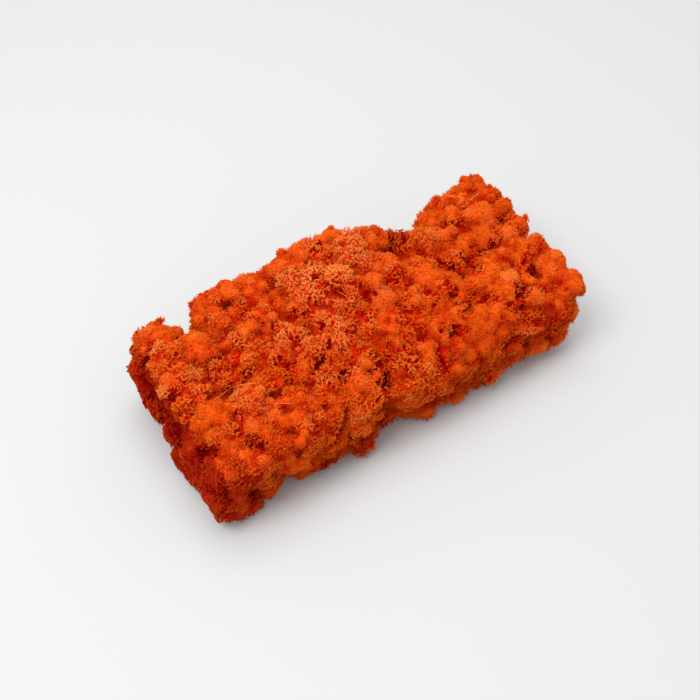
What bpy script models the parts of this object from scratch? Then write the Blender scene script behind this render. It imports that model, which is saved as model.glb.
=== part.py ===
"""A clump of preserved reindeer moss (a Cladonia lichen), matted into one springy cushion.

The clump lies with its pressed underside on the XY plane. +X runs along its
length, +Y across its width away from the front, +Z up, and the origin is the
middle of its bounding box at the base. Metres.
"""

import math
import random

import bmesh
import bpy
from mathutils import Matrix, Vector, noise

for old in list(bpy.data.objects):
    bpy.data.objects.remove(old)

# ---------------------------------------------------------------- dimensions
CM = 0.01
HALF_LENGTH = 19.5 * CM  # the clump's reach along X from its middle
HALF_WIDTH = 9.6 * CM  # its reach along Y
CORNER = 3.2 * CM  # plan radius at the corners
SEED = 20

# The cushions that show on top: x, y, height of the crown, radius, in cm.
CUSHIONS = [
    # left end, high row, then the low shoulder that falls away beside it
    (-16.0, 7.0, 8.5, 2.6), (-15.8, 4.4, 9.1, 3.0), (-16.0, 1.2, 9.1, 2.9),
    (-15.8, -2.2, 8.5, 2.7), (-15.4, -5.4, 8.7, 2.8), (-14.8, -7.4, 7.8, 2.3),
    (-17.4, 5.0, 6.6, 2.2), (-17.2, 1.0, 5.8, 2.4), (-17.0, -3.0, 4.4, 2.6),
    (-17.2, -6.8, 5.4, 2.4),
    # left half, front to back
    (-13.2, 3.8, 8.9, 2.6), (-12.6, -3.9, 9.1, 3.0), (-12.4, -6.8, 8.6, 2.6),
    (-12.2, 0.6, 8.4, 2.6), (-10.6, 6.2, 8.8, 3.0), (-9.7, 3.2, 9.3, 3.0),
    (-9.8, -0.8, 9.1, 2.9), (-8.8, -5.4, 9.2, 3.2), (-9.2, -7.2, 8.3, 2.4),
    (-7.4, 6.2, 8.9, 3.2), (-6.6, 2.9, 9.3, 3.0), (-7.0, -1.4, 9.3, 3.0),
    (-6.4, -6.0, 8.4, 2.4), (-4.4, -5.0, 9.2, 3.0), (-4.0, -7.3, 8.0, 2.3),
    # the high middle, which rises over its neighbours
    (-4.0, -2.0, 9.6, 3.0), (-3.4, 1.4, 9.7, 2.8), (-2.4, 4.8, 10.4, 3.2),
    (-1.2, 7.0, 10.0, 2.8), (0.2, 3.4, 10.5, 3.0), (0.4, 0.6, 9.8, 2.8),
    (0.2, -2.6, 9.2, 2.8), (2.2, 7.0, 9.8, 2.8), (3.2, 4.8, 10.0, 3.0),
    (3.0, 0.6, 9.7, 3.0), (4.8, 6.6, 9.5, 2.6),
    # right of the cleft in the front edge
    (0.2, -7.1, 7.8, 2.4), (0.8, -5.2, 8.7, 2.6), (2.4, -7.3, 7.5, 2.2),
    (2.6, -4.6, 8.8, 2.8), (4.2, -2.2, 9.0, 2.8), (4.6, -6.6, 8.1, 2.8),
    (5.6, 2.2, 9.2, 2.8), (7.2, -4.2, 8.7, 2.8), (7.0, -1.0, 9.0, 2.8),
    (7.6, -6.8, 7.8, 2.5), (8.4, 1.4, 8.8, 2.7), (8.2, 5.2, 7.6, 2.3),
    (9.6, -3.0, 8.4, 2.6), (9.6, -6.4, 8.3, 2.8), (10.6, 4.4, 8.6, 2.7),
    # right end
    (11.4, 0.8, 8.6, 2.7), (12.0, -5.6, 8.8, 3.0), (12.4, 3.0, 8.8, 2.6),
    (13.0, -2.4, 9.0, 2.8), (13.4, -6.9, 7.2, 2.2), (13.8, 7.0, 7.0, 2.4),
    (14.4, 0.6, 9.2, 3.0), (14.8, 4.8, 8.6, 2.6), (15.4, -4.8, 8.2, 2.5),
    (16.4, 7.0, 8.4, 2.5), (16.6, 4.6, 9.0, 2.9), (16.7, -1.0, 8.8, 2.8),
    (16.9, -6.7, 7.9, 2.5), (17.1, 1.8, 8.3, 2.4), (16.9, -3.8, 8.0, 2.6),
    (17.2, 7.0, 8.6, 2.4),
]

# Side cushions run round the clump in two rings: height of their centres,
# radius, spacing, and how far in from the outline each ring stands, in cm.
RINGS = [
    (1.75, 2.35, 3.1, 0.55),
    (4.75, 2.55, 3.3, 0.0),
]
# Clefts in the outline, where no side cushion stands: x, y, reach, in cm.
CLEFTS = [(-2.2, -9.4, 1.5), (-12.7, 9.2, 1.5), (10.3, 9.6, 2.4), (3.4, -9.6, 0.9)]

CORE_TOP = 6.6 * CM  # the matted heart under the crowns
VOXEL = 0.0042
KNOB = 0.0024  # depth of the small knobs over every cushion
KNOB_PITCH = 0.017
TRIANGLES = 6800

ORANGE = (0.80, 0.115, 0.012, 1.0)


def outline(length):
    """The point at this distance round the plan outline, and its outward normal."""
    a, b, r = HALF_LENGTH, HALF_WIDTH, CORNER
    straight_x, straight_y, arc = 2 * (a - r), 2 * (b - r), math.pi * r / 2
    total = 2 * straight_x + 2 * straight_y + 4 * arc
    s = length % total
    sides = [
        (straight_x, Vector((-(a - r), -b)), Vector((1, 0)), Vector((0, -1))),
        (straight_y, Vector((a, -(b - r))), Vector((0, 1)), Vector((1, 0))),
        (straight_x, Vector((a - r, b)), Vector((-1, 0)), Vector((0, 1))),
        (straight_y, Vector((-a, b - r)), Vector((0, -1)), Vector((-1, 0))),
    ]
    for run, start, along, out in sides:
        if s <= run:
            return start + along * s, out
        s -= run
        if s <= arc:
            turn = s / r
            centre = start + along * run - out * r
            normal = out * math.cos(turn) + along * math.sin(turn)
            return centre + normal * r, normal
        s -= arc
    return Vector((a, 0)), Vector((1, 0))


def outline_length():
    return 4 * (HALF_LENGTH + HALF_WIDTH - 2 * CORNER) + 2 * math.pi * CORNER


def ball(bm, centre, radius, squash=1.0):
    place = Matrix.Translation(centre) @ Matrix.Diagonal((1, 1, squash, 1))
    bmesh.ops.create_icosphere(bm, subdivisions=3, radius=radius, matrix=place)


def inside_outline(x, y, margin):
    """x and y moved in, where needed, to stand this far inside the outline."""
    a, b, r = HALF_LENGTH - margin, HALF_WIDTH - margin, max(CORNER - margin, 0.001)
    x, y = max(-a, min(a, x)), max(-b, min(b, y))
    cx, cy = abs(x) - (a - r), abs(y) - (b - r)
    if cx > 0 and cy > 0 and math.hypot(cx, cy) > r:
        k = r / math.hypot(cx, cy)
        x = math.copysign(a - r + cx * k, x)
        y = math.copysign(b - r + cy * k, y)
    return x, y


def cushion_shapes():
    """One mesh of overlapping balls: crowns, side rings and the heart between them."""
    rng = random.Random(SEED)
    bm = bmesh.new()
    for x, y, top, radius in CUSHIONS:
        r = radius * CM
        x, y = inside_outline(x * CM, y * CM, r)
        ball(bm, (x, y, top * CM - r), r)
    for number, (height, radius, spacing, inset) in enumerate(RINGS):
        count = round(outline_length() / (spacing * CM))
        for i in range(count):
            where = (i + 0.5 * number + rng.uniform(-0.22, 0.22)) * outline_length() / count
            edge, out = outline(where)
            if any(
                math.hypot(edge.x / CM - cx, edge.y / CM - cy) < reach
                for cx, cy, reach in CLEFTS
            ):
                continue
            r = (radius + rng.uniform(-0.3, 0.3)) * CM
            at = edge - out * (r + (inset + rng.uniform(0.0, 0.35)) * CM)
            ball(bm, (at.x, at.y, (height + rng.uniform(-0.25, 0.35)) * CM), r)
    heart_a, heart_b = HALF_LENGTH - 2.6 * CM, HALF_WIDTH - 2.4 * CM
    bmesh.ops.create_cube(
        bm,
        size=1.0,
        matrix=Matrix.Translation((0, 0, (CORE_TOP - 0.01) / 2))
        @ Matrix.Diagonal((2 * heart_a, 2 * heart_b, CORE_TOP + 0.01, 1)),
    )
    mesh = bpy.data.meshes.new("cushions")
    bm.to_mesh(mesh)
    bm.free()
    return mesh


def evaluated(obj):
    """A copy of the object's mesh with its modifiers applied."""
    graph = bpy.context.evaluated_depsgraph_get()
    return bpy.data.meshes.new_from_object(obj.evaluated_get(graph))


def largest_shell(mesh):
    """Only the outer skin: the shells round sealed hollows are dropped."""
    bm = bmesh.new()
    bm.from_mesh(mesh)
    left, shells = set(bm.verts), []
    while left:
        seed = left.pop()
        shell, front = {seed}, [seed]
        while front:
            for edge in front.pop().link_edges:
                for v in edge.verts:
                    if v in left:
                        left.discard(v)
                        shell.add(v)
                        front.append(v)
        shells.append(shell)
    keep = max(shells, key=len)
    bmesh.ops.delete(bm, geom=[v for v in bm.verts if v not in keep], context="VERTS")
    bm.to_mesh(mesh)
    bm.free()


def knobs(mesh):
    """Small rounded knobs over the skin, as the branch heads bunch together."""
    mesh.update()
    moved = []
    for v in mesh.vertices:
        p = Vector(v.co)
        cells, _ = noise.voronoi(p / KNOB_PITCH)
        crown = 1.0 - min(cells[0] * 1.6, 1.0) ** 2
        swell = noise.noise(p / 0.045)
        moved.append(p + v.normal * KNOB * (crown * 1.3 - 0.9 + 0.5 * swell))
    for v, p in zip(mesh.vertices, moved):
        v.co = p


def apply(obj, kind, **settings):
    modifier = obj.modifiers.new(kind.title(), kind)
    for name, value in settings.items():
        setattr(modifier, name, value)
    made = evaluated(obj)
    obj.modifiers.clear()
    obj.data = made
    return made


def moss_material():
    material = bpy.data.materials.new("dyed_moss")
    material.use_nodes = True
    shader = material.node_tree.nodes["Principled BSDF"]
    shader.inputs["Base Color"].default_value = ORANGE
    shader.inputs["Roughness"].default_value = 0.9
    shader.inputs["Metallic"].default_value = 0.0
    material.diffuse_color = ORANGE
    return material


def main():
    clump = bpy.data.objects.new("moss_clump", cushion_shapes())
    bpy.context.scene.collection.objects.link(clump)

    apply(clump, "REMESH", mode="VOXEL", voxel_size=VOXEL)
    largest_shell(clump.data)
    apply(clump, "SMOOTH", factor=0.5, iterations=2)
    knobs(clump.data)

    # The pressed underside: everything below the base plane is cut away flat.
    cutter_mesh = bpy.data.meshes.new("base_cut")
    bm = bmesh.new()
    bmesh.ops.create_cube(
        bm,
        size=1.0,
        matrix=Matrix.Translation((0, 0, -0.05)) @ Matrix.Diagonal((0.6, 0.4, 0.1, 1)),
    )
    bm.to_mesh(cutter_mesh)
    bm.free()
    cutter = bpy.data.objects.new("base_cut", cutter_mesh)
    cutter.hide_render = True
    cutter.display_type = "WIRE"
    bpy.context.scene.collection.objects.link(cutter)

    faces = sum(len(p.vertices) - 2 for p in clump.data.polygons)
    apply(clump, "DECIMATE", decimate_type="COLLAPSE", ratio=TRIANGLES / faces)
    apply(clump, "BOOLEAN", operation="DIFFERENCE", object=cutter, solver="EXACT")
    largest_shell(clump.data)
    apply(clump, "TRIANGULATE")

    # The origin is the middle of the bounding box at the base.
    xs = [v.co.x for v in clump.data.vertices]
    ys = [v.co.y for v in clump.data.vertices]
    shift = Vector((-(min(xs) + max(xs)) / 2, -(min(ys) + max(ys)) / 2, 0))
    clump.data.transform(Matrix.Translation(shift))
    print("shift", [round(c, 5) for c in shift])

    clump.data.materials.clear()
    clump.data.materials.append(moss_material())


main()
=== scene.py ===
"""The looks of the reindeer moss clump: forked lichen heads grown over its packed form.

Every head is built as the lichen grows: a cushion carries smaller lobes, each
lobe forks twice from its stem, and each twig ends in a little star of points.
Lengths are in metres unless a name says mm.
"""

import math

import bmesh
import bpy
import numpy as np
from mathutils import Matrix, Vector, kdtree, noise
from mathutils.bvhtree import BVHTree


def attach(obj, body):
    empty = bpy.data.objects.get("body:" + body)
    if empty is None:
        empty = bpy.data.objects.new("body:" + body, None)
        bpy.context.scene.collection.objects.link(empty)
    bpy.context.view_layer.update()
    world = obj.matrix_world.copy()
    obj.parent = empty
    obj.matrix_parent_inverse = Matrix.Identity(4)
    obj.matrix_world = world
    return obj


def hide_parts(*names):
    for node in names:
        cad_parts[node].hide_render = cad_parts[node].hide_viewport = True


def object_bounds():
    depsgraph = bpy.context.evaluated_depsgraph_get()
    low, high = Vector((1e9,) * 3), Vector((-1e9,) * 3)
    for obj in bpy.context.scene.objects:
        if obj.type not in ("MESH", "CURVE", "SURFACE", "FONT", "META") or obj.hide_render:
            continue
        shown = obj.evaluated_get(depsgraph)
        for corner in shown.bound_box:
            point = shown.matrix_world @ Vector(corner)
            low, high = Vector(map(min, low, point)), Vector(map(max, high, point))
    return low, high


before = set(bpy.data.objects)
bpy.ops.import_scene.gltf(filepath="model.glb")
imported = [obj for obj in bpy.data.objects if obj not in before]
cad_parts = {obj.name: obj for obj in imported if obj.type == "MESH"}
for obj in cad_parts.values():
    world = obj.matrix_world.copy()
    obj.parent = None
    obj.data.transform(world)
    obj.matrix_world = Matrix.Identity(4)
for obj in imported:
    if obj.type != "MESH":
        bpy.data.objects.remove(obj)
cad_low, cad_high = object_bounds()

MM = 0.001
SEED = 41
RNG = np.random.default_rng(SEED)
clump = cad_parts["moss_clump"]

# ------------------------------------------------------------------ camera
# The photograph's viewpoint, in a 700 by 700 frame.
FOCAL_PX = 1112.12
EYE = Vector((-0.32975, -0.55416, 0.82175))
RIGHT = Vector((0.84613905, -0.53220395, -0.02841927))
DOWN = Vector((-0.42820988, -0.64711847, -0.63077253))
AHEAD = Vector((0.317309, 0.54589068, -0.7754472))


def add_camera():
    data = bpy.data.cameras.new("camera")
    data.sensor_width = 36.0
    data.lens = 36.0 * FOCAL_PX / 700.0
    camera = bpy.data.objects.new("camera", data)
    bpy.context.scene.collection.objects.link(camera)
    turn = Matrix((RIGHT, -DOWN, -AHEAD)).transposed().to_4x4()
    camera.matrix_world = Matrix.Translation(EYE) @ turn
    bpy.context.scene.camera = camera


def seen_at(px, py, height):
    """The point at this height that the camera sees at a place in its frame."""
    ray = RIGHT * (px - 350) + DOWN * (py - 350) + AHEAD * FOCAL_PX
    return EYE + ray * ((height - EYE.z) / ray.z)


# ------------------------------------------------------------------- heads
# The cushions seen from above: place in the frame, radius in cm, height of the
# crown in cm, how open its lace is (0 close and smooth, 1 coarse), and its
# tint with painted shade (-1 deep red, mostly painted shadow on heads that lie
# in shade, such as the low left shoulder and the right and front edges,
# 0 orange, 1 pale salmon).
HEADS = [
    # left end, from the back round to the low shoulder
    (151, 329, 2.2, 8.7, 0.4, -0.1), (166, 331, 1.7, 8.7, 0.3, 0.1), (169, 349, 2.5, 9.2, 0.6, 0.3),
    (191, 341, 2.2, 9.0, 0.2, 0.0), (179, 373, 2.3, 9.2, 0.6, 0.3),
    (140, 364, 1.5, 7.0, 0.3, -0.6), (149, 385, 2.0, 6.0, 0.6, -0.6),
    (159.5, 400, 2.0, 6.0, 0.7, -0.85), (191, 391, 2.1, 8.8, 0.7, 0.05),
    (179, 418, 2.2, 5.5, 0.8, -0.9), (209, 409, 2.3, 8.6, 0.3, -0.1),
    (191, 445, 2.5, 3.5, 0.4, -1.0), (206, 424, 1.8, 8.0, 0.2, -0.4),
    (230, 424, 2.4, 8.8, 0.5, 0.1), (227, 442, 2.2, 8.5, 0.4, -0.1),
    (234, 460, 2.2, 8.0, 0.5, -0.25), (215, 464, 1.8, 6.5, 0.6, -0.8),
    (215, 481, 2.0, 5.5, 0.5, -0.95), (254, 457, 2.0, 7.8, 0.4, -0.1),
    # left half
    (252, 397, 2.2, 9.2, 0.5, 0.5), (254, 415, 2.2, 9.0, 0.6, 0.3),
    (275, 418, 2.3, 8.8, 0.4, 0.1), (279, 436, 2.0, 8.2, 0.5, 0.0),
    (302, 394, 2.6, 9.2, 0.4, 0.0), (305, 422, 2.3, 8.3, 0.5, -0.1),
    (317, 412, 2.0, 8.3, 0.5, 0.0), (222, 317, 2.2, 8.8, 0.4, 0.2),
    (206, 310, 1.9, 8.6, 0.3, -0.1), (249, 292, 2.0, 8.8, 0.2, 0.1),
    (264, 310, 2.6, 9.2, 0.5, 0.3), (239, 304, 2.2, 8.8, 0.5, 0.2),
    (218, 340, 2.0, 8.4, 0.3, -0.3), (245, 331, 2.4, 9.2, 0.5, 0.3),
    (222, 364, 2.0, 8.4, 0.8, 0.1), (254, 352, 2.4, 9.2, 0.6, 0.2),
    (239, 373, 2.0, 8.3, 0.5, 0.1), (279, 347, 2.2, 9.4, 0.6, 0.35),
    (290, 329, 2.3, 9.4, 0.8, 0.6), (267, 373, 2.2, 9.0, 0.5, 0.0),
    (284, 364, 2.0, 8.8, 0.7, 0.1),
    # along the back on the left
    (201, 299, 1.7, 9.0, 0.3, -0.2), (215, 293, 1.7, 9.2, 0.4, 0.1),
    (229, 286, 1.8, 9.2, 0.2, 0.1), (243, 280, 1.8, 9.3, 0.5, 0.0),
    (257, 274, 1.8, 9.3, 0.3, 0.1), (270, 267, 1.8, 9.4, 0.4, 0.0),
    (283, 260, 1.8, 9.6, 0.2, 0.1),
    # the high middle, coarse and pale
    (297, 248, 2.2, 10.0, 0.3, 0.3), (313, 242, 2.0, 10.0, 0.5, 0.4),
    (296, 271, 2.4, 10.3, 0.8, 0.9), (316.5, 271, 2.4, 10.5, 0.9, 0.9),
    (336, 271, 2.3, 10.5, 1.0, 0.9), (332, 230, 1.8, 10.0, 0.3, 0.2),
    (352, 235, 2.3, 10.1, 0.9, 0.8), (363, 231, 1.8, 9.8, 0.6, 0.5), (350, 251, 2.2, 10.0, 0.8, 0.95),
    (375, 231, 1.8, 9.7, 0.3, -0.1), (367.5, 255, 2.0, 9.6, 0.5, 0.35),
    (367.5, 279, 2.0, 9.8, 0.3, 0.25), (381.6, 294, 2.0, 9.6, 0.1, 0.4),
    (311, 284, 2.3, 10.3, 0.8, 0.8), (304, 302, 1.8, 9.6, 0.6, 0.5),
    (347, 284, 2.2, 10.0, 0.7, 0.6), (342, 305, 2.0, 9.7, 0.7, 0.3),
    (323, 315, 2.0, 9.7, 0.6, 0.6), (334, 322, 2.2, 9.7, 0.7, 0.6),
    # middle front
    (329, 338, 2.4, 9.6, 0.6, 0.45), (311, 347, 2.2, 9.4, 0.5, 0.4),
    (348, 344, 2.3, 9.4, 0.5, 0.4), (304, 368, 2.0, 9.0, 0.3, -0.1),
    (337, 359, 2.3, 9.2, 0.5, 0.1), (361, 356, 2.0, 9.0, 0.4, 0.15),
    (329, 378.6, 2.2, 9.0, 0.7, 0.1), (351, 378.6, 2.2, 8.8, 0.5, 0.1),
    (369, 385, 2.0, 8.3, 0.3, 0.0), (355, 394, 2.0, 8.0, 0.5, 0.1),
    (322, 395, 2.0, 8.4, 0.4, 0.0), (393, 359, 2.0, 8.2, 0.6, -0.2),
    (403, 376, 2.0, 7.6, 0.5, -0.2), (406, 353, 2.0, 8.4, 0.8, 0.2),
    (418.6, 371, 1.8, 7.4, 0.7, 0.0), (367.5, 310, 2.0, 9.2, 0.6, 0.2),
    (367.5, 327.5, 2.2, 9.2, 0.7, 0.3), (386.7, 321, 2.0, 9.0, 0.3, 0.15),
    (390.5, 340, 2.0, 8.7, 0.4, -0.1),
    # right of the middle
    (399, 271, 2.2, 9.0, 0.5, 0.2), (387, 261, 2.2, 9.2, 0.3, 0.25),
    (406, 297, 2.3, 9.0, 0.5, 0.2), (397, 236, 1.8, 8.0, 0.6, -0.5),
    (423.7, 233, 2.1, 8.6, 0.6, 0.4), (423.7, 261, 2.2, 8.8, 0.5, 0.2),
    # the back right corner and the right edge
    (477, 179, 1.9, 9.2, 0.12, -0.2), (459, 191, 1.9, 8.4, 0.4, 0.1),
    (474, 194, 2.2, 8.8, 0.5, 0.3), (498, 186, 1.8, 9.7, 0.2, -0.25),
    (485.6, 208.7, 2.4, 9.3, 0.1, 0.1), (443, 200, 1.7, 7.6, 0.3, -0.1),
    (430, 213, 1.8, 6.6, 0.5, -0.5), (457.7, 213, 2.0, 8.6, 0.4, 0.1),
    (446, 233.6, 2.1, 8.8, 0.5, 0.2), (482.7, 233.6, 2.3, 9.2, 0.1, 0.0),
    (468, 241, 1.9, 8.8, 0.12, 0.0), (509, 232, 2.2, 9.1, 0.12, 0.0),
    (520, 215, 1.8, 9.5, 0.4, -0.1), (507, 202, 1.7, 9.7, 0.3, -0.1), (523, 245, 2.0, 9.0, 0.12, 0.0),
    (497, 252.7, 2.2, 9.0, 0.4, 0.1), (542, 236, 1.8, 9.2, 0.4, -0.2),
    (556, 254, 2.0, 9.3, 0.0, 0.0), (540, 255.6, 1.8, 8.3, 0.4, -0.3),
    (570, 274.7, 2.0, 8.9, 0.1, -0.15), (554.6, 280.6, 2.0, 8.4, 0.2, -0.2),
    (535.5, 288, 2.0, 8.4, 0.0, 0.3), (562, 292, 1.6, 7.0, 0.3, -0.4),
    (509, 276, 2.2, 8.9, 0.12, 0.1), (491.5, 267, 2.1, 9.0, 0.14, 0.2),
    (521, 270, 1.8, 7.8, 0.6, -0.5), (477, 258.6, 1.8, 8.2, 0.4, -0.2),
    (456, 252.7, 2.0, 8.6, 0.5, 0.1), (435.7, 252.7, 1.9, 8.3, 0.3, -0.2),
    (430, 274.7, 2.2, 9.0, 0.14, 0.1), (447.5, 279, 2.2, 9.0, 0.12, 0.05),
    (462, 291, 2.0, 8.4, 0.4, -0.1), (477, 282, 1.8, 8.2, 0.4, 0.0),
    (503, 294, 2.4, 8.8, 0.12, 0.1), (485.6, 296.7, 1.8, 8.2, 0.4, -0.2),
    (512, 307, 1.9, 7.6, 0.4, -0.5), (532.6, 308, 1.7, 7.0, 0.6, -0.3),
    (482.7, 311, 2.1, 8.4, 0.12, -0.1), (491.5, 323, 2.0, 7.8, 0.4, -0.25),
    (471, 323, 2.1, 8.2, 0.12, 0.0), (456, 311, 2.1, 8.6, 0.12, 0.1),
    (438.7, 296.7, 2.2, 8.9, 0.4, 0.0), (418, 291, 2.1, 9.0, 0.4, 0.1),
    (415, 311, 2.2, 8.8, 0.5, 0.0), (433, 323, 2.2, 8.6, 0.4, 0.1),
    (468, 339, 2.0, 7.6, 0.4, -0.35), (446, 341, 2.2, 8.2, 0.3, -0.15),
    (428, 344, 2.0, 8.2, 0.14, 0.0), (405, 330, 2.2, 8.8, 0.6, 0.1),
    (424, 363, 1.8, 7.6, 0.7, 0.1), (453, 355, 1.8, 7.2, 0.3, -0.45),
    (393, 311, 2.0, 8.9, 0.4, 0.1), (394.7, 289, 2.0, 9.1, 0.5, 0.1),
]

# Dark pits between the heads: place in the frame, radius and depth in mm.
PITS = [
    (221, 358, 4, 9), (243, 377, 4, 12), (232, 390, 4, 12), (237, 340, 3, 9),
    (172, 396, 4, 12), (206, 452, 6, 22), (237, 424, 3, 9), (258, 444, 4, 10),
    (273, 267, 3, 14), (316, 249, 5, 14), (316, 273, 4, 10), (326, 282, 3, 12),
    (338, 291, 4, 9), (369, 292, 4, 13), (295, 314, 4, 16), (310, 310, 4, 12),
    (288, 336, 4, 9), (280, 359, 4, 9), (321, 360, 4, 12), (322, 326, 3, 9),
    (348, 372, 3, 11), (355, 310, 3, 9), (364, 322, 3, 9), (375, 356, 3, 9),
    (387, 351, 4, 13), (396, 248, 5, 12), (286, 368, 4, 10), (243, 302, 2, 8),
    (323, 382, 4, 9), (380, 366, 4, 13), (460, 225, 5, 13), (494.7, 244, 4, 13),
    (480, 250, 3, 9), (469, 262, 4, 12), (460, 271, 4, 10), (443, 262, 5, 11),
    (523, 265, 4, 12), (520, 290, 5, 13), (486, 300, 4, 11), (515, 309, 5, 18),
    (452, 330, 4, 13), (441, 358, 5, 16), (419, 333, 4, 11), (404, 317, 4, 11),
    (394, 280, 5, 11), (427, 291, 3, 9), (437, 300, 4, 10), (452, 293, 5, 11),
    (467, 311, 4, 10), (409, 357, 4, 10), (543, 290, 4, 12), (552, 268, 4, 12),
    (506, 209, 4, 14), (530, 232, 4, 14), (185, 323, 6, 20), (383, 389, 5, 25),
]

# Long bare stems that lie over the heads: places along each in the frame, the
# lift over the form in mm, and the thickness in mm.
STRAYS = [
    ([(216, 398), (223, 394), (231, 388), (240, 385), (250, 384), (258, 383)], 7.5, 0.62),
    ([(231, 388), (226, 384), (219, 384), (214, 381)], 7.5, 0.45),
    ([(236, 386), (233, 394), (231, 399)], 7.0, 0.42),
    ([(274, 405), (281, 403), (290, 404), (297, 402)], 7.0, 0.5),
    ([(332, 300), (341, 303), (350, 308), (356, 309)], 7.5, 0.5),
    ([(337, 291), (346, 296), (352, 304)], 7.5, 0.45),
    ([(336, 272), (331, 266), (329, 260)], 7.5, 0.6),
    ([(336, 272), (343, 269), (348, 263)], 7.5, 0.5),
    ([(336, 272), (341, 278), (349, 281)], 7.5, 0.5),
    ([(336, 272), (331, 279), (325, 284)], 7.5, 0.5),
    ([(353, 236), (359, 241), (361, 248)], 7.0, 0.5),
    ([(353, 236), (347, 241), (345, 247)], 7.0, 0.5),
    ([(479, 193), (471, 199), (463, 201)], 7.0, 0.5),
    ([(449, 196), (459, 197), (468, 203)], 7.0, 0.45),
    ([(277, 258), (284, 262), (292, 261)], 7.0, 0.45),
    ([(311, 311), (306, 305), (304, 299)], 7.0, 0.4),
]


# ------------------------------------------------------------------- tools
def unit(v):
    v = np.asarray(v, float)
    return v / np.maximum(np.linalg.norm(v, axis=-1, keepdims=True), 1e-12)


def cross(a, b):
    """The cross products of two lists of vectors."""
    ax, ay, az = a[:, 0], a[:, 1], a[:, 2]
    bx, by, bz = b[:, 0], b[:, 1], b[:, 2]
    return np.stack([ay * bz - az * by, az * bx - ax * bz, ax * by - ay * bx], 1)


def square_to(d):
    """For each direction, two more that are square to it and to each other."""
    aside = np.where(np.abs(d[:, 2:3]) < 0.8, [[0.0, 0.0, 1.0]], [[1.0, 0.0, 0.0]])
    u = unit(cross(d, aside))
    return u, cross(d, u)


RIPPLES = RNG.normal(0, 1, (12, 3))
RIPPLES /= np.linalg.norm(RIPPLES, axis=1, keepdims=True)
PHASES = RNG.uniform(0, 6.283, 12)


def ripple(points, size):
    """A smooth wander over space between about -1 and 1, with features of this size."""
    return np.sin(points @ RIPPLES.T * (3.1416 / size) + PHASES).sum(1) / 3.2


def spread_over_cap(count, axis, widest, wander):
    """Directions spread evenly over a cap about the axis, as florets are."""
    k = np.arange(count) + 0.5
    step = (1 - math.cos(widest)) / count
    z = np.clip(1 - step * k + RNG.normal(0, wander * step * 3, count), -1, 1)
    turn = k * 2.399963 + RNG.uniform(0, 6.283) + RNG.normal(0, wander, count)
    u, v = square_to(np.array([axis], float))
    ring = np.sqrt(1 - z * z)[:, None]
    return z[:, None] * axis + ring * (np.cos(turn)[:, None] * u + np.sin(turn)[:, None] * v)


def press(points):
    """Points near the clump's sides, top or base are pressed in, the more the further they reach."""
    p = np.array(points, float)
    shape = p.shape
    p = p.reshape(-1, 3)
    for axis, soft in ((0, 7 * MM), (1, 7 * MM)):
        for limit, sign in ((cad_low[axis], -1), (cad_high[axis], 1)):
            past = (p[:, axis] - limit) * sign + soft
            held = soft * (1 - np.exp(-np.maximum(past, 0) / soft)) - soft
            p[:, axis] = np.where(past > 0, limit + sign * held, p[:, axis])
    past = p[:, 2] - (cad_high[2] - 1 * MM)
    p[:, 2] = np.where(past > 0, cad_high[2] - 1 * MM + past * 0.35, p[:, 2])
    low = 1.3 * MM - p[:, 2]
    p[:, 2] = np.where(low > 0, 1.3 * MM - 0.6 * MM * (1 - np.exp(-np.maximum(low, 0) / (2 * MM))), p[:, 2])
    return p.reshape(shape)


class Twigs:
    """Closed three-sided twigs, gathered in batches and made into one mesh."""

    def __init__(self, name):
        self.name, self.batches, self.triangles = name, [], 0

    def add(self, points, radii, growth, tint, painted_light, sharp):
        """points n by k by 3, radii and growth n by k, tint and painted light n (0 painted shade, 1 lit). A sharp twig
        ends in a point.
        """
        if len(points) == 0:
            return
        k = points.shape[1]
        self.batches.append((points, radii, growth, tint, painted_light, sharp))
        rings = k - 1 if sharp else k
        self.triangles += len(points) * (1 + 6 * (rings - 1) + (3 if sharp else 1))

    def make(self, material):
        spots, marks, faces, start = [], [], [], 0
        for points, radii, growth, tint, painted_light, sharp in self.batches:
            n, k = radii.shape
            rings = k - 1 if sharp else k
            ahead = unit(points[:, -1] - points[:, 0])
            u, v = square_to(ahead)
            turn = RNG.uniform(0, 6.283, n)
            ring = []
            for j in range(3):
                a = (turn + j * 2.0943951)[:, None]
                ring.append(np.cos(a) * u + np.sin(a) * v)
            around = np.stack(ring, 1)[:, None, :, :]
            made = points[:, :rings, None, :] + around * radii[:, :rings, None, None]
            made = made.reshape(n, rings * 3, 3)
            g = np.repeat(growth[:, :rings], 3, axis=1)
            if sharp:
                made = np.concatenate([made, points[:, -1:, :]], 1)
                g = np.concatenate([g, growth[:, -1:]], 1)
            each = made.shape[1]
            local = [(0, 2, 1)]
            for r in range(rings - 1):
                for j in range(3):
                    a, b = r * 3 + j, r * 3 + (j + 1) % 3
                    local += [(a, b, b + 3), (a, b + 3, a + 3)]
            last = (rings - 1) * 3
            if sharp:
                local += [(last + j, last + (j + 1) % 3, last + 3) for j in range(3)]
            else:
                local.append((last, last + 1, last + 2))
            local = np.array(local)
            offset = start + np.arange(n) * each
            faces.append((offset[:, None, None] + local[None]).reshape(-1, 3))
            spots.append(made.reshape(-1, 3))
            # the blue channel carries the painted light, a little varied per twig
            own = np.clip(painted_light + RNG.normal(0, 0.07, n), 0, 1)
            marks.append(
                np.stack(
                    [g.ravel(), np.repeat(tint * 0.5 + 0.5, each), np.repeat(own, each), np.ones(n * each)], 1
                )
            )
            start += n * each
        spots, faces, marks = np.concatenate(spots), np.concatenate(faces), np.concatenate(marks)
        spots[:, 2] = np.maximum(spots[:, 2], 0.15 * MM)
        mesh = mesh_from(self.name, spots, faces)
        growth = mesh.attributes.new("growth", "FLOAT_COLOR", "POINT")
        growth.data.foreach_set("color", marks.astype(np.float32).ravel())
        piece = bpy.data.objects.new(self.name, mesh)
        bpy.context.scene.collection.objects.link(piece)
        mesh.materials.append(material)
        return piece


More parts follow.
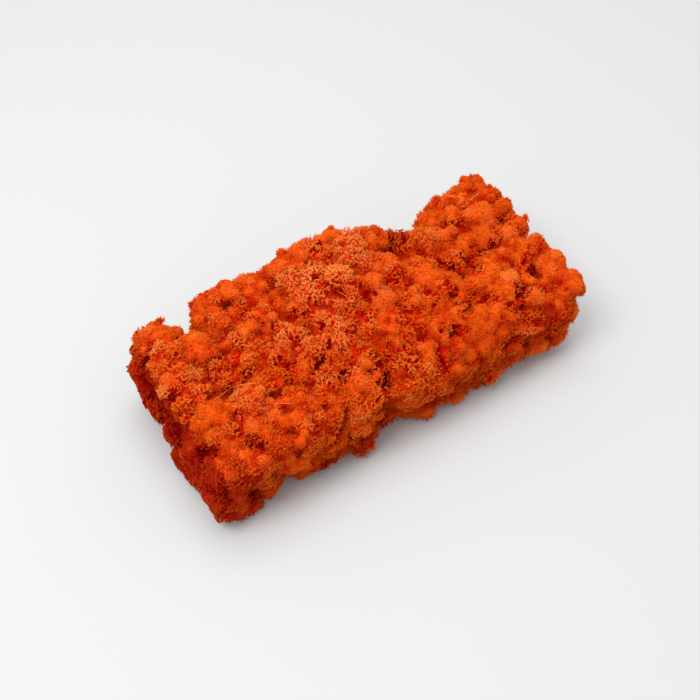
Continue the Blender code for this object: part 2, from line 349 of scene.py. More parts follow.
def mesh_from(name, spots, faces, smooth=False):
    mesh = bpy.data.meshes.new(name)
    mesh.vertices.add(len(spots))
    mesh.vertices.foreach_set("co", spots.astype(np.float32).ravel())
    mesh.loops.add(len(faces) * 3)
    mesh.loops.foreach_set("vertex_index", faces.astype(np.int32).ravel())
    mesh.polygons.add(len(faces))
    mesh.polygons.foreach_set("loop_start", np.arange(0, len(faces) * 3, 3, dtype=np.int32))
    mesh.update(calc_edges=True)
    mesh.polygons.foreach_set("use_smooth", np.full(len(faces), smooth))
    mesh.update()
    return mesh


# ----------------------------------------------------------- heads and lobes
form = BVHTree.FromPolygons(
    [v.co.copy() for v in clump.data.vertices],
    [tuple(p.vertices) for p in clump.data.polygons],
)


def form_under(px, py):
    """Where the camera's line through this place in its frame meets the form."""
    ray = (RIGHT * (px - 350) + DOWN * (py - 350) + AHEAD * FOCAL_PX).normalized()
    spot, normal, _, _ = form.ray_cast(EYE, ray)
    return spot, normal, ray


def form_samples(count):
    """Points spread at random over the form by area, with the faces' normals."""
    mesh = clump.data
    mesh.calc_loop_triangles()
    co = np.array([v.co for v in mesh.vertices])
    tri = np.array([t.vertices for t in mesh.loop_triangles])
    a, b, c = co[tri[:, 0]], co[tri[:, 1]], co[tri[:, 2]]
    cross = np.cross(b - a, c - a)
    area = np.linalg.norm(cross, axis=1)
    pick = RNG.choice(len(tri), count, p=area / area.sum())
    s, t = np.sqrt(RNG.uniform(0, 1, count)), RNG.uniform(0, 1, count)
    spot = (1 - s)[:, None] * a[pick] + (s * (1 - t))[:, None] * b[pick] + (s * t)[:, None] * c[pick]
    return spot, unit(cross[pick])


class Head:
    def __init__(self, centre, reach, axis, openness, tint, place):
        self.centre, self.reach, self.axis = np.array(centre, float), reach, unit(axis)
        self.openness, self.tint, self.place = openness, tint, place
        self.long, self.stretch = unit(RNG.normal(0, 1, 3)), RNG.uniform(-0.12, 0.2)

    def out(self, d):
        """How far the head reaches in this direction."""
        return self.reach * (1 + self.stretch * (float(d @ self.long) ** 2 - 0.33))


def top_heads():
    made = []
    for px, py, radius, top, openness, tint in HEADS:
        reach = radius * 10 * MM * RNG.uniform(0.80, 0.96)
        crown = seen_at(px, py, top * 10 * MM - 1.5 * MM)
        centre = Vector((crown.x, crown.y, top * 10 * MM - reach))
        for side in (0, 1):
            room = cad_high[side] - 0.72 * reach
            centre[side] = max(-room, min(room, centre[side]))
        _, normal, _, _ = form.find_nearest(centre + Vector((0, 0, reach)))
        axis = Vector((0, 0, 0.8)) + normal * 0.6
        made.append(Head(centre, reach, axis, openness, tint, "top"))
    return made


def filling_heads(known):
    """Heads over the rest of the form: its sides, and low ones where the top shows gaps."""
    spots, normals = form_samples(9000)
    placed = np.full((1200, 3), 9.0)
    number = len(known)
    placed[:number] = [head.centre + head.axis * head.reach for head in known]
    made = []
    for spot, normal in zip(spots, normals):
        if spot[2] < 5 * MM or normal[2] < -0.75:
            continue
        on_top = normal[2] > 0.6 and spot[2] > 45 * MM
        gap = (15.0 if on_top else 17.0) * MM
        if np.min(((placed[:number] - spot) ** 2).sum(1)) < gap**2:
            continue
        reach = RNG.uniform(12.0, 19.0) * MM
        sunk = 3 * MM if on_top else 0.0
        axis = unit(normal + np.array([0, 0, 0.25]))
        # painted shade: filling heads are a little deeper red than the top ones, and deeper still the lower they sit
        # on the sides
        tint = -0.15 + RNG.normal(0, 0.2) - 0.25 * (1 - min(spot[2] / 0.06, 1.0))
        openness = float(np.clip(RNG.normal(0.45, 0.2), 0.05, 0.95))
        centre = spot - normal * (reach + sunk)
        made.append(Head(centre, reach, axis, openness, tint, "fill" if on_top else "side"))
        placed[number] = spot
        number += 1
    return made


class Lobe:
    __slots__ = ("centre", "radius", "axis", "head", "tint", "openness", "long", "stretch", "high", "up")

    @property
    def close(self):
        return self.openness < 0.42

    def painted_light(self, d):
        """How much painted light the lobe gets in these directions: 0 painted shade down in a crease, 1 lit on a
        crown.
        """
        return np.clip(0.38 + 0.26 * self.high + 0.72 * (d @ self.up - 0.5), 0, 1)


def depth_in_form(point):
    """How deep under the form's surface a point lies, in metres (negative outside)."""
    spot, normal, _, away = form.find_nearest(Vector(point))
    return away if (Vector(point) - spot).dot(normal) < 0 else -away


def lobes_of(heads):
    """The small lobes that stand on the cushions, without those that neighbours hide."""
    tree = kdtree.KDTree(len(heads))
    for i, head in enumerate(heads):
        tree.insert(head.centre, i)
    tree.balance()
    made = []
    for i, head in enumerate(heads):
        spacing = (11.3 + 1.3 * head.openness) * MM
        widest = math.radians(102)
        count = int(2 * math.pi * head.reach**2 * (1 - math.cos(widest)) / (0.82 * spacing**2))
        around = spread_over_cap(count, head.axis, widest, 0.32)
        near = [(Vector(c), j) for c, j, _ in tree.find_range(head.centre, 0.045) if j != i]
        others = np.array([c for c, _ in near]) if near else np.zeros((0, 3))
        reaches = np.array([heads[j].reach for _, j in near])
        knob = head.openness < 0.15
        if knob:
            apart = np.linalg.norm(around - head.axis, axis=1) * head.reach
            around = np.concatenate([head.axis[None], around[apart > 9.5 * MM]])
        for number, d in enumerate(around):
            radius = (4.1 + 4.4 * RNG.beta(1.4, 2.1) + 0.6 * head.openness) * MM
            out = head.out(d) + RNG.normal(0, 2.1) * MM
            missing = RNG.uniform() < 0.02
            if knob and number == 0:
                radius, out, missing = 0.52 * head.reach, head.reach + 2.0 * MM, False
            centre = head.centre + d * (out - radius)
            pole = head.centre + d * out
            if len(others) and np.any(np.linalg.norm(pole - others, axis=1) < reaches - 2.4 * MM):
                continue
            if missing or (pole[2] < 1.5 * MM and d[2] < -0.6):
                continue
            if depth_in_form(pole) > 8.5 * MM:
                continue
            lobe = Lobe()
            lobe.centre, lobe.radius, lobe.axis, lobe.head = centre, radius, d, i
            lobe.tint = head.tint + float(np.clip(RNG.normal(0, 0.24), -0.3, 0.5))
            # painted shadow: the low lobes of the left end are turned deep red
            if pole[0] < -150 * MM and pole[2] < 70 * MM:
                lobe.tint = -0.9 + RNG.normal(0, 0.12)
            lobe.openness = float(np.clip(head.openness + RNG.normal(0, 0.12), 0, 1))
            lobe.long, lobe.stretch = unit(RNG.normal(0, 1, 3)), RNG.uniform(-0.22, 0.3)
            # the way that counts as lit for the painted light
            lobe.up = unit(d + 0.6 * head.axis)
            made.append(lobe)

    # crowns stand higher than the lobes round them; how much higher sets part of their painted light
    poles = [l.centre + l.axis * l.radius for l in made]
    tree = kdtree.KDTree(len(made))
    for i, pole in enumerate(poles):
        tree.insert(pole, i)
    tree.balance()
    for lobe, pole in zip(made, poles):
        near = [j for _, j, _ in tree.find_range(pole, 21 * MM)]
        middle = np.mean([poles[j] for j in near], axis=0)
        up = unit(np.sum([made[j].axis for j in near], axis=0))
        lobe.high = float(np.clip((pole - middle) @ up / (4.5 * MM), -1, 1))
    return made


class Pit:
    """A crooked gap that runs down between the heads."""

    def __init__(self, start, way, radius, depth):
        self.start, self.way, self.radius, self.depth = start, way, radius, depth
        u, v = square_to(way[None])
        turn = RNG.uniform(0, 3.1416)
        self.long = math.cos(turn) * u[0] + math.sin(turn) * v[0]
        self.stretch = RNG.uniform(1.6, 3.4)


def all_pits():
    made = []
    for px, py, radius, depth in PITS:
        spot, normal, ray = form_under(px, py)
        if spot is None:
            continue
        way = (ray * 0.7 + Vector((0, 0, -0.5))).normalized()
        start = np.array(spot - way * 7 * MM)
        made.append(Pit(start, np.array(way), radius * 0.55 * MM, (depth + 5) * MM))
    return made


def in_pits(points, pits, widen=0.0):
    """How far inside the nearest pit each point lies, in metres (negative outside)."""
    inside = np.full(len(points), -1.0)
    rough = ripple(points, 5 * MM) * 1.7 * MM
    for pit in pits:
        along = np.clip((points - pit.start) @ pit.way, 0, pit.depth)
        off = points - (pit.start + along[:, None] * pit.way)
        aside = off @ pit.long
        away = np.sqrt(np.maximum((off**2).sum(1) - aside**2 * (1 - 1 / pit.stretch**2), 0))
        inside = np.maximum(inside, pit.radius + widen - away + rough)
    return inside


def grow(lobes, heads, pits, twigs_for):
    """Twigs for every lobe: a close fur of star tips, or open lace on forked stems."""
    tree = kdtree.KDTree(len(lobes))
    for i, lobe in enumerate(lobes):
        tree.insert(lobe.centre, i)
    tree.balance()
    centres = np.array([l.centre for l in lobes])
    radii = np.array([l.radius for l in lobes])
    pit_starts = np.array([p.start for p in pits])
    for i, lobe in enumerate(lobes):
        head = heads[lobe.head]
        low = head.place == "side"
        open_, close = lobe.openness, lobe.close
        spacing = (2.45 + 0.5 * open_ if close else 3.1 + 1.5 * open_) * MM
        spacing += (0.3 if low else 0.0) * MM
        widest = math.radians(108)
        count = int(2 * math.pi * lobe.radius**2 * (1 - math.cos(widest)) / (0.84 * spacing**2))
        d0 = spread_over_cap(count, lobe.axis, widest, 0.22)
        reach = lobe.radius * (1 + lobe.stretch * ((d0 @ lobe.long) ** 2 - 0.33))
        reach = reach * (1 + RNG.normal(0, 0.035 if close else 0.07, count)) + RNG.exponential(0.3 * MM, count)
        tips = lobe.centre + d0 * reach[:, None]
        near = [j for _, j, _ in tree.find_range(lobe.centre, lobe.radius + 9.5 * MM) if j != i]
        keep = np.ones(count, bool)
        if near:
            gap = np.linalg.norm(tips[:, None] - centres[near][None], axis=2) - radii[near][None]
            keep &= gap.min(1) > (0.6 if close else -0.7) * MM
        away = np.sqrt(((pit_starts - lobe.centre) ** 2).sum(1))
        holes = [pits[j] for j in np.nonzero(away < 0.05)[0]]
        if holes:
            keep &= (in_pits(tips, holes) < 0) | (RNG.uniform(0, 1, count) < 0.10)
        keep &= tips[:, 2] > -2.5 * MM
        if keep.sum() < 3:
            continue
        tips, d0, reach = tips[keep], d0[keep], reach[keep]
        n = len(tips)
        # painted light: the crown of each lobe lit, its flanks and creases in painted shade
        painted_light = lobe.painted_light(d0)
        tint = np.full(n, lobe.tint)
        thick = (1.14 + 0.22 * open_) * MM
        size = RNG.uniform(0.85, 1.15, n)[:, None] * thick
        twigs = twigs_for(head, lobe)
        u, v = square_to(d0)
        turn = RNG.uniform(0, 6.283, n)

        if close:
            # short points that stand on the lobe, each with side points spread flat
            base = lobe.centre + d0 * (reach - 1.9 * MM)[:, None]
            lean = RNG.uniform(0, 0.9, n)[:, None] * MM
            ends = tips + (np.cos(turn)[:, None] * u + np.sin(turn)[:, None] * v) * lean
            twigs.add(
                press(np.stack([base, ends], 1)), np.repeat([[0.56, 0.0]], n, 0) * size,
                np.repeat([[0.72, 1.0]], n, 0), tint, painted_light, True,
            )
            for part in range(2):
                a = turn + 1.4 + part * RNG.uniform(2.0, 3.2, n)
                out = np.cos(a)[:, None] * u + np.sin(a)[:, None] * v
                tilt = RNG.uniform(1.05, 1.5, n)[:, None]
                go = d0 * np.cos(tilt) + out * np.sin(tilt)
                at = tips - d0 * (RNG.uniform(0.5, 1.1, n) * MM)[:, None]
                long = RNG.uniform(1.4, 2.2, n) * MM
                twigs.add(
                    press(np.stack([at - go * 0.3 * MM, at + go * long[:, None]], 1)),
                    np.repeat([[0.48, 0.0]], n, 0) * size, np.repeat([[0.80, 1.0]], n, 0), tint, painted_light, True,
                )
            continue

        forks = max(3, int(round(count / 3.0)))
        d1 = spread_over_cap(forks, lobe.axis, widest, 0.3)
        nodes = lobe.centre + d1 * (lobe.radius * RNG.uniform(0.40, 0.60, forks))[:, None]
        own = np.argmin(np.linalg.norm(tips[:, None] - nodes[None], axis=2), axis=1)
        used = np.unique(own)
        m = len(used)
        foot = lobe.centre - lobe.axis * lobe.radius * 0.5

        # the first forks from the end of the stem
        twigs.add(
            press(np.stack([np.repeat(foot[None], m, 0), nodes[used]], 1)),
            np.repeat([[0.55, 0.48]], m, 0) * thick, np.repeat([[0.4, 0.65]], m, 0),
            np.full(m, lobe.tint), lobe.painted_light(d1[used]), False,
        )

        # the tips, each bent once
        base = nodes[own]
        run = tips - base
        length = np.linalg.norm(run, axis=1)
        way = unit(run)
        u, v = square_to(way)
        side = np.cos(turn)[:, None] * u + np.sin(turn)[:, None] * v
        bend = base + run * 0.62 + side * (length * RNG.uniform(0.05, 0.16, n))[:, None]
        twigs.add(
            press(np.stack([base, bend, tips + way * 0.4 * MM], 1)), np.array([[0.47, 0.45, 0.0]]) * size,
            np.repeat([[0.62, 0.9, 1.0]], n, 0), tint, painted_light, True,
        )

        # arms that reach for the nearest tips, which knit the lace, and one free point
        apart = np.linalg.norm(tips[:, None] - tips[None], axis=2) + np.eye(n)
        order = np.argsort(apart, axis=1)
        start = tips - way * (RNG.uniform(0.5, 1.1, n) * MM)[:, None]
        for part in range(2 if n > 3 else 1):
            to = tips[order[:, part]]
            mate = to - start
            far = np.linalg.norm(mate, axis=1)
            long = np.minimum(far * RNG.uniform(0.55, 0.75, n), (2.9 + 1.5 * open_) * MM)
            go = unit(unit(mate) + RNG.normal(0, 0.16, (n, 3)))
            twigs.add(
                press(np.stack([start - go * 0.3 * MM, start + go * long[:, None]], 1)),
                np.repeat([[0.47, 0.08]], n, 0) * size, np.repeat([[0.88, 1.0]], n, 0), tint, painted_light, True,
            )
        out = np.cos(turn + 2.4)[:, None] * u + np.sin(turn + 2.4)[:, None] * v
        tilt = RNG.uniform(0.9, 1.35, n)[:, None]
        go = way * np.cos(tilt) + out * np.sin(tilt)
        long = (1.7 + 1.3 * open_) * MM * RNG.uniform(0.75, 1.25, n)
        twigs.add(
            press(np.stack([start - go * 0.2 * MM, start + go * long[:, None]], 1)),
            np.repeat([[0.45, 0.0]], n, 0) * size, np.repeat([[0.85, 1.0]], n, 0), tint, painted_light, True,
        )


# ------------------------------------------------------------------- the mat
def balls(centres, radii, subdivisions):
    """Vertices and faces of many icospheres."""
    bm = bmesh.new()
    bmesh.ops.create_icosphere(bm, subdivisions=subdivisions, radius=1.0)
    spot = np.array([v.co for v in bm.verts])
    face = np.array([[v.index for v in f.verts] for f in bm.faces])
    bm.free()
    centres, radii = np.array(centres), np.array(radii)
    spots = centres[:, None] + spot[None] * radii[:, None, None]
    faces = face[None] + (np.arange(len(centres)) * len(spot))[:, None, None]
    return spots.reshape(-1, 3), faces.reshape(-1, 3)


def mat_piece(heads, lobes, pits, material):
    """The matted older stems that close the view between the heads."""
    centres, radii = [], []
    step = 12 * MM
    across = [np.arange(low + 9 * MM, high, step) for low, high in zip(cad_low, cad_high)]
    for x in across[0]:
        for y in across[1]:
            for z in across[2]:
                deep = depth_in_form((x, y, z))
                if deep > 10 * MM:
                    centres.append((x, y, z))
                    radii.append(deep - 9.0 * MM)
    centres += [h.centre for h in heads] + [h.centre - h.axis * h.reach * 0.6 for h in heads]
    radii += [h.reach - 7.5 * MM for h in heads] + [h.reach * 0.6 for h in heads]
    spots, faces = balls(centres, radii, 3)
    centres = [l.centre for l in lobes] + [l.centre - l.axis * (l.radius * 0.6 + 2.5 * MM) for l in lobes]
    radii = [l.radius - 0.65 * MM if l.close else l.radius * (0.86 - 0.42 * l.openness) for l in lobes]
    radii += [l.radius * 0.62 for l in lobes]
    # the oldest stems lie pressed flat on the base
    for x in np.arange(cad_low[0] + 9 * MM, cad_high[0], 8 * MM):
        for y in np.arange(cad_low[1] + 9 * MM, cad_high[1], 8 * MM):
            if depth_in_form((x, y, 9 * MM)) > 7.5 * MM:
                centres.append((x, y, 9.3 * MM))
                radii.append(8.3 * MM)
    more_spots, more_faces = balls(centres, radii, 2)
    mesh = mesh_from(
        "matted_stems",
        np.concatenate([spots, more_spots]),
        np.concatenate([faces, more_faces + len(spots)]),
    )
    piece = bpy.data.objects.new("matted_stems", mesh)
    bpy.context.scene.collection.objects.link(piece)
    remesh = piece.modifiers.new("Remesh", "REMESH")
    remesh.mode, remesh.voxel_size = "VOXEL", 2.35 * MM
    triangulate = piece.modifiers.new("Triangulate", "TRIANGULATE")
    graph = bpy.context.evaluated_depsgraph_get()
    made = bpy.data.meshes.new_from_object(piece.evaluated_get(graph))
    piece.modifiers.clear()
    bm = bmesh.new()
    bm.from_mesh(made)
    left, shells = set(bm.verts), []
    while left:
        seed = left.pop()
        shell, front = {seed}, [seed]
        while front:
            for edge in front.pop().link_edges:
                for v in edge.verts:
                    if v in left:
                        left.discard(v)
                        shell.add(v)
                        front.append(v)
        shells.append(shell)
    keep = max(shells, key=len)
    bmesh.ops.delete(bm, geom=[v for v in bm.verts if v not in keep], context="VERTS")
    bm.normal_update()
    co = np.array([v.co for v in bm.verts])
    normal = np.array([v.normal for v in bm.verts])
    knots = np.empty(len(co))
    for i, p in enumerate(co):
        q = Vector(p)
        cells, _ = noise.voronoi(q / 0.0065)
        knots[i] = min((cells[1] - cells[0]) * 2.2, 1.0) * -1.2 + 0.6 + 0.6 * noise.noise(q / 0.013)
    co += normal * (knots * 0.8 * MM)[:, None]
    inside = in_pits(co, pits, 4 * MM)
    co -= normal * np.minimum(np.clip(inside, 0, None) * 1.6, 9 * MM)[:, None]
    co[:, 2] = np.maximum(co[:, 2], 1.6 * MM)
    co = press(co)
    tree = kdtree.KDTree(len(lobes))
    for i, lobe in enumerate(lobes):
        tree.insert(lobe.centre, i)
    tree.balance()
    marks = np.ones((len(co), 4), np.float32)
    # painted shade: the matted stems away from the lobes are deep red, with a slow wander in tone
    plain_tint = -0.35 + 0.2 * ripple(co, 0.03)
    on_lobe = np.zeros(len(co), bool)
    for i, (v, p) in enumerate(zip(bm.verts, co)):
        v.co = p
        _, j, _ = tree.find(p)
        lobe = lobes[j]
        off = p - lobe.centre
        away = math.sqrt(off @ off)
        out = min(away / lobe.radius, 1.15)
        on_lobe[i] = lobe.close and away < lobe.radius + 0.9 * MM
        # painted shade: deeper inside a lobe the stems take the darker, redder end of the ramps
        marks[i, 0] = min(max(out * 1.05 - (0.22 if lobe.close else 0.36), 0.0), 1.0)
        far = min(max((away - lobe.radius) / (4 * MM), 0.0), 1.0)
        tint = lobe.tint * (1 - far) + plain_tint[i] * far
        marks[i, 1] = min(max(tint * 0.5 + 0.5, 0.0), 1.0)
        # painted light as on the lobe's twigs, a little less on open lobes, and an even middle value away from the
        # lobes
        painted_light = float(lobe.painted_light(off / max(away, 1e-9))) - (0.0 if lobe.close else 0.06)
        marks[i, 2] = painted_light * (1 - far) + 0.4 * far
    # painted shade: darker still down in the pits
    marks[:, 2] = np.clip(marks[:, 2] - np.clip(inside / (4 * MM), 0, 1) * 0.6, 0, 1)
    bm.to_mesh(made)
    bm.free()
    growth = made.attributes.new("growth", "FLOAT_COLOR", "POINT")
    growth.data.foreach_set("color", marks.ravel())
    made.name = "matted_stems"
    made.polygons.foreach_set("use_smooth", np.ones(len(made.polygons), bool))
    made.materials.clear()
    made.materials.append(material)
    piece.data = made
    shown = ~(on_lobe & (marks[:, 2] > 0.30)) & (inside < -1 * MM) & (co[:, 2] > 3 * MM)
    return piece, co[shown], normal[shown], marks[shown]


# ------------------------------------------- lining, underside and strays
def lining(twigs, spots, normals, marks, count):
    """Short forked twigs on the matted stems, wherever those would show uncovered."""
    pick = RNG.choice(len(spots), min(count, len(spots)), replace=False)
    spots, normals, marks = spots[pick], normals[pick], marks[pick]
    n = len(spots)
    go = unit(normals + RNG.normal(0, 0.5, (n, 3)))
    long = RNG.uniform(2.4, 4.6, n)[:, None] * MM
    thick = RNG.uniform(0.42, 0.58, n)[:, None] * MM
    tint, painted_light = marks[:, 1] * 2 - 1, np.clip(marks[:, 2] + 0.10, 0, 1)
    twigs.add(
        press(np.stack([spots - go * 0.6 * MM, spots + go * long], 1)),
        np.array([[1.0, 0.0]]) * thick, np.repeat([[0.55, 0.95]], n, 0), tint, painted_light, True,
    )
    u, v = square_to(go)
    turn = RNG.uniform(0, 6.283, n)[:, None]
    out = unit(go * 0.5 + np.cos(turn) * u + np.sin(turn) * v)
    at = spots + go * long * RNG.uniform(0.35, 0.75, n)[:, None]
    twigs.add(
        press(np.stack([at - out * 0.2 * MM, at + out * long * 0.6], 1)),
        np.array([[0.85, 0.0]]) * thick, np.repeat([[0.7, 0.95]], n, 0), tint, painted_light, True,
    )


def underside(twigs):
    """Stems and twigs pressed flat where the clump lies on its base."""
    spots, normals = form_samples(16000)
    flat = spots[(normals[:, 2] < -0.9) & (spots[:, 2] < 2 * MM)][:2100]
    inner = [depth_in_form((x, y, 9 * MM)) > 7.5 * MM for x, y, _ in flat]
    flat = flat[np.array(inner)]
    n = len(flat)
    flat[:, 2] = RNG.uniform(0.9, 2.2, n) * MM
    angle = RNG.uniform(0, 6.283, n)
    long = RNG.uniform(3.5, 9.5, n) * MM
    go = np.stack([np.cos(angle), np.sin(angle), RNG.normal(0, 0.06, n)], 1)
    aside = np.stack([-np.sin(angle), np.cos(angle), np.zeros(n)], 1)
    mid = flat + go * (long * 0.5)[:, None] + aside * (long * RNG.normal(0, 0.12, n))[:, None]
    end = flat + go * long[:, None]
    # painted shade: the pressed stems underneath are deep red
    tint = RNG.normal(-0.35, 0.15, n)
    thick = RNG.uniform(0.45, 0.75, n)[:, None] * MM
    twigs.add(
        press(np.stack([flat, mid, end], 1)), np.array([[1.0, 0.9, 0.0]]) * thick,
        np.repeat([[0.45, 0.6, 0.85]], n, 0), tint, np.full(n, 0.5), True,
    )
    for sign in (1, -1):
        turn = angle + sign * RNG.uniform(0.6, 1.2, n)
        fork = np.stack([np.cos(turn), np.sin(turn), RNG.normal(0, 0.05, n)], 1)
        at = flat + (mid - flat) * RNG.uniform(0.5, 1.1, n)[:, None]
        twigs.add(
            press(np.stack([at, at + fork * (long * RNG.uniform(0.3, 0.6, n))[:, None]], 1)),
            np.array([[0.8, 0.0]]) * thick, np.repeat([[0.55, 0.9]], n, 0), tint, np.full(n, 0.5), True,
        )


def strays(twigs, mat):
    """Long loose stems that lie on the crowns."""
    woven = BVHTree.FromPolygons([v.co.copy() for v in mat.data.vertices], [tuple(f.vertices) for f in mat.data.polygons])
    for places, lift, thick in STRAYS:
        spots, rays, sunk = [], [], []
        for px, py in places:
            spot, _, ray = form_under(px, py)
            if spot is None:
                continue
            far = woven.ray_cast(spot - ray * 0.1, ray)[3]
            if far is None:
                continue
            spots.append(np.array(spot))
            rays.append(np.array(ray))
            sunk.append(far - 0.1)
        # a stem bridges the hollows between the crowns that carry it
        level = np.pad(np.array(sunk), 1, mode="edge")
        level = 0.25 * level[:-2] + 0.5 * level[1:-1] + 0.25 * level[2:]
        level = np.minimum(level, np.array(sunk)) * 0.5 + level * 0.5
        line = np.array(spots) + np.array(rays) * (level - lift * 0.62 * MM)[:, None]
        k = len(line)
        size = np.linspace(1.0, 0.55, k)[None] * thick * MM
        twigs.add(line[None], size, np.full((1, k), 0.9), np.array([0.8]), np.array([0.7]), True)
        for i in range(1, k):
            go = unit(line[i] - line[i - 1])
            for _ in range(2):
                out = unit(go + RNG.normal(0, 0.55, 3))
                twigs.add(
                    np.array([[line[i], line[i] + out * RNG.uniform(2.5, 4.5) * MM]]),
                    np.array([[thick * 0.62, 0.0]]) * MM, np.array([[0.9, 1.0]]), np.array([0.8]), np.array([0.7]), True,
                )


# ---------------------------------------------------------------- materials
def node(tree, kind, at, **values):
    made = tree.nodes.new(kind)
    made.location = at
    for name, value in values.items():
        setattr(made, name, value)
    return made


def ramp(tree, at, stops):
    made = node(tree, "ShaderNodeValToRGB", at)
    while len(made.color_ramp.elements) < len(stops):
        made.color_ramp.elements.new(0.5)
    for element, (place, colour) in zip(made.color_ramp.elements, stops):
        element.position, element.color = place, (*colour, 1.0)
    return made


def mix(tree, at, kind="MIX"):
    return node(tree, "ShaderNodeMix", at, data_type="RGBA", blend_type=kind)


def lichen_material(name, web):
    """Dyed lichen: orange, peach at some tips; painted shade makes it deep red in the creases and painted light pales
    the crowns.

    With web above 0 it is the matted stems, whose strands and gaps are too fine to model; painted shade darkens the
    gaps between the strands, and its ramps run darker, as painted shade between the heads.
    """
    material = bpy.data.materials.new(name)
    material.use_nodes = True
    tree = material.node_tree
    link = tree.links.new
    shader = tree.nodes["Principled BSDF"]
    growth = node(tree, "ShaderNodeAttribute", (-1500, 200), attribute_name="growth")
    split = node(tree, "ShaderNodeSeparateColor", (-1300, 200))
    link(growth.outputs["Color"], split.inputs["Color"])
    place = node(tree, "ShaderNodeTexCoord", (-1500, -200))
    patches = node(tree, "ShaderNodeTexNoise", (-1300, -150))
    patches.inputs["Scale"].default_value = 42.0
    patches.inputs["Detail"].default_value = 3.0
    link(place.outputs["Object"], patches.inputs["Vector"])
    specks = node(tree, "ShaderNodeTexNoise", (-1300, -400))
    specks.inputs["Scale"].default_value = 900.0
    specks.inputs["Detail"].default_value = 4.0
    link(place.outputs["Object"], specks.inputs["Vector"])

    # along the twig, for the orange, the pale and the deep red heads: redder and darker towards the root,
    # partly the lichen's own paler tips and partly painted shade deep in the clump; the deep red ramp
    # is mostly painted shade, and the matted stems' ramps run darker as painted shade between the heads
    if web:
        plain_stops = [(0.0, (0.43, 0.008, 0.001)), (0.4, (0.52, 0.029, 0.001)), (0.7, (0.64, 0.074, 0.003)), (1.0, (0.67, 0.116, 0.006))]
        pale_stops = [(0.0, (0.54, 0.016, 0.002)), (0.5, (0.65, 0.076, 0.007)), (1.0, (0.76, 0.180, 0.030))]
    else:
        plain_stops = [(0.0, (0.66, 0.008, 0.001)), (0.4, (0.68, 0.029, 0.001)), (0.75, (0.675, 0.073, 0.003)), (1.0, (0.69, 0.122, 0.006))]
        pale_stops = [(0.0, (0.64, 0.024, 0.003)), (0.5, (0.73, 0.110, 0.010)), (1.0, (0.82, 0.238, 0.050))]
    deep_shade_stops = [(0.0, (0.23, 0.003, 0.001)), (0.6, (0.29, 0.005, 0.001)), (1.0, (0.36, 0.013, 0.002))]
    ramps = []
    for y, stops in ((400, plain_stops), (150, pale_stops), (-100, deep_shade_stops)):
        along = ramp(tree, (-1050, y), stops)
        link(split.outputs["Red"], along.inputs["Fac"])
        ramps.append(along)
    plain_one, pale, deep = ramps
    to_pale = node(tree, "ShaderNodeMapRange", (-1050, -350))
    to_pale.inputs["From Min"].default_value = 0.5
    to_pale.inputs["From Max"].default_value = 1.0
    link(split.outputs["Green"], to_pale.inputs["Value"])
    first = mix(tree, (-780, 250))
    link(to_pale.outputs["Result"], first.inputs["Factor"])
    link(plain_one.outputs["Color"], first.inputs["A"])
    link(pale.outputs["Color"], first.inputs["B"])
    to_deep_shade = node(tree, "ShaderNodeMapRange", (-1050, -600))
    to_deep_shade.inputs["From Min"].default_value = 0.5
    to_deep_shade.inputs["From Max"].default_value = 0.0
    link(split.outputs["Green"], to_deep_shade.inputs["Value"])
    second = mix(tree, (-560, 200))
    link(to_deep_shade.outputs["Result"], second.inputs["Factor"])
    link(first.outputs["Result"], second.inputs["A"])
    link(deep.outputs["Color"], second.inputs["B"])

    # painted shade and painted light: creases are made darker and redder, crowns paler, by the painted light value of
    # each spot
    crease_shade = (0.91, 0.19, 0.2) if web else (1.05, 0.20, 0.2)
    slope_shade = (0.94, 0.53, 0.45) if web else (1.05, 0.53, 0.45)
    light_and_shade = ramp(
        tree, (-780, -80), [(0.0, crease_shade), (0.28, slope_shade), (0.58, (1.05, 0.99, 1.0)), (1.0, (1.06, 1.12, 1.22))]
    )
    link(split.outputs["Blue"], light_and_shade.inputs["Fac"])
    third = mix(tree, (-360, 200), "MULTIPLY")
    third.inputs["Factor"].default_value = 1.0
    link(second.outputs["Result"], third.inputs["A"])
    link(light_and_shade.outputs["Color"], third.inputs["B"])
    # the dye took unevenly
    dye = ramp(tree, (-780, -380), [(0.3, (0.90, 0.68, 0.6)), (0.55, (1.0, 1.0, 1.0)), (0.75, (1.0, 1.20, 1.1))])
    link(patches.outputs["Fac"], dye.inputs["Fac"])
    fourth = mix(tree, (-180, 150), "MULTIPLY")
    fourth.inputs["Factor"].default_value = 0.8
    link(third.outputs["Result"], fourth.inputs["A"])
    link(dye.outputs["Color"], fourth.inputs["B"])
    grain = ramp(tree, (-560, -380), [(0.3, (0.86, 0.78, 0.7)), (0.7, (1.0, 1.0, 1.0))])
    link(specks.outputs["Fac"], grain.inputs["Fac"])
    fifth = mix(tree, (0, 100), "MULTIPLY")
    fifth.inputs["Factor"].default_value = 0.55
    link(fourth.outputs["Result"], fifth.inputs["A"])
    link(grain.outputs["Color"], fifth.inputs["B"])
    last = fifth.outputs["Result"]

    rough = node(tree, "ShaderNodeMapRange", (-360, -150))
    rough.inputs["To Min"].default_value = 0.62
    rough.inputs["To Max"].default_value = 0.9
    link(specks.outputs["Fac"], rough.inputs["Value"])
    link(rough.outputs["Result"], shader.inputs["Roughness"])
    bump = node(tree, "ShaderNodeBump", (0, -300))
    bump.inputs["Strength"].default_value = 0.25
    bump.inputs["Distance"].default_value = 0.0002
    height = specks.outputs["Fac"]

    if web:
        strands = node(tree, "ShaderNodeTexVoronoi", (-780, -700), feature="DISTANCE_TO_EDGE")
        strands.inputs["Scale"].default_value = 420.0
        link(place.outputs["Object"], strands.inputs["Vector"])
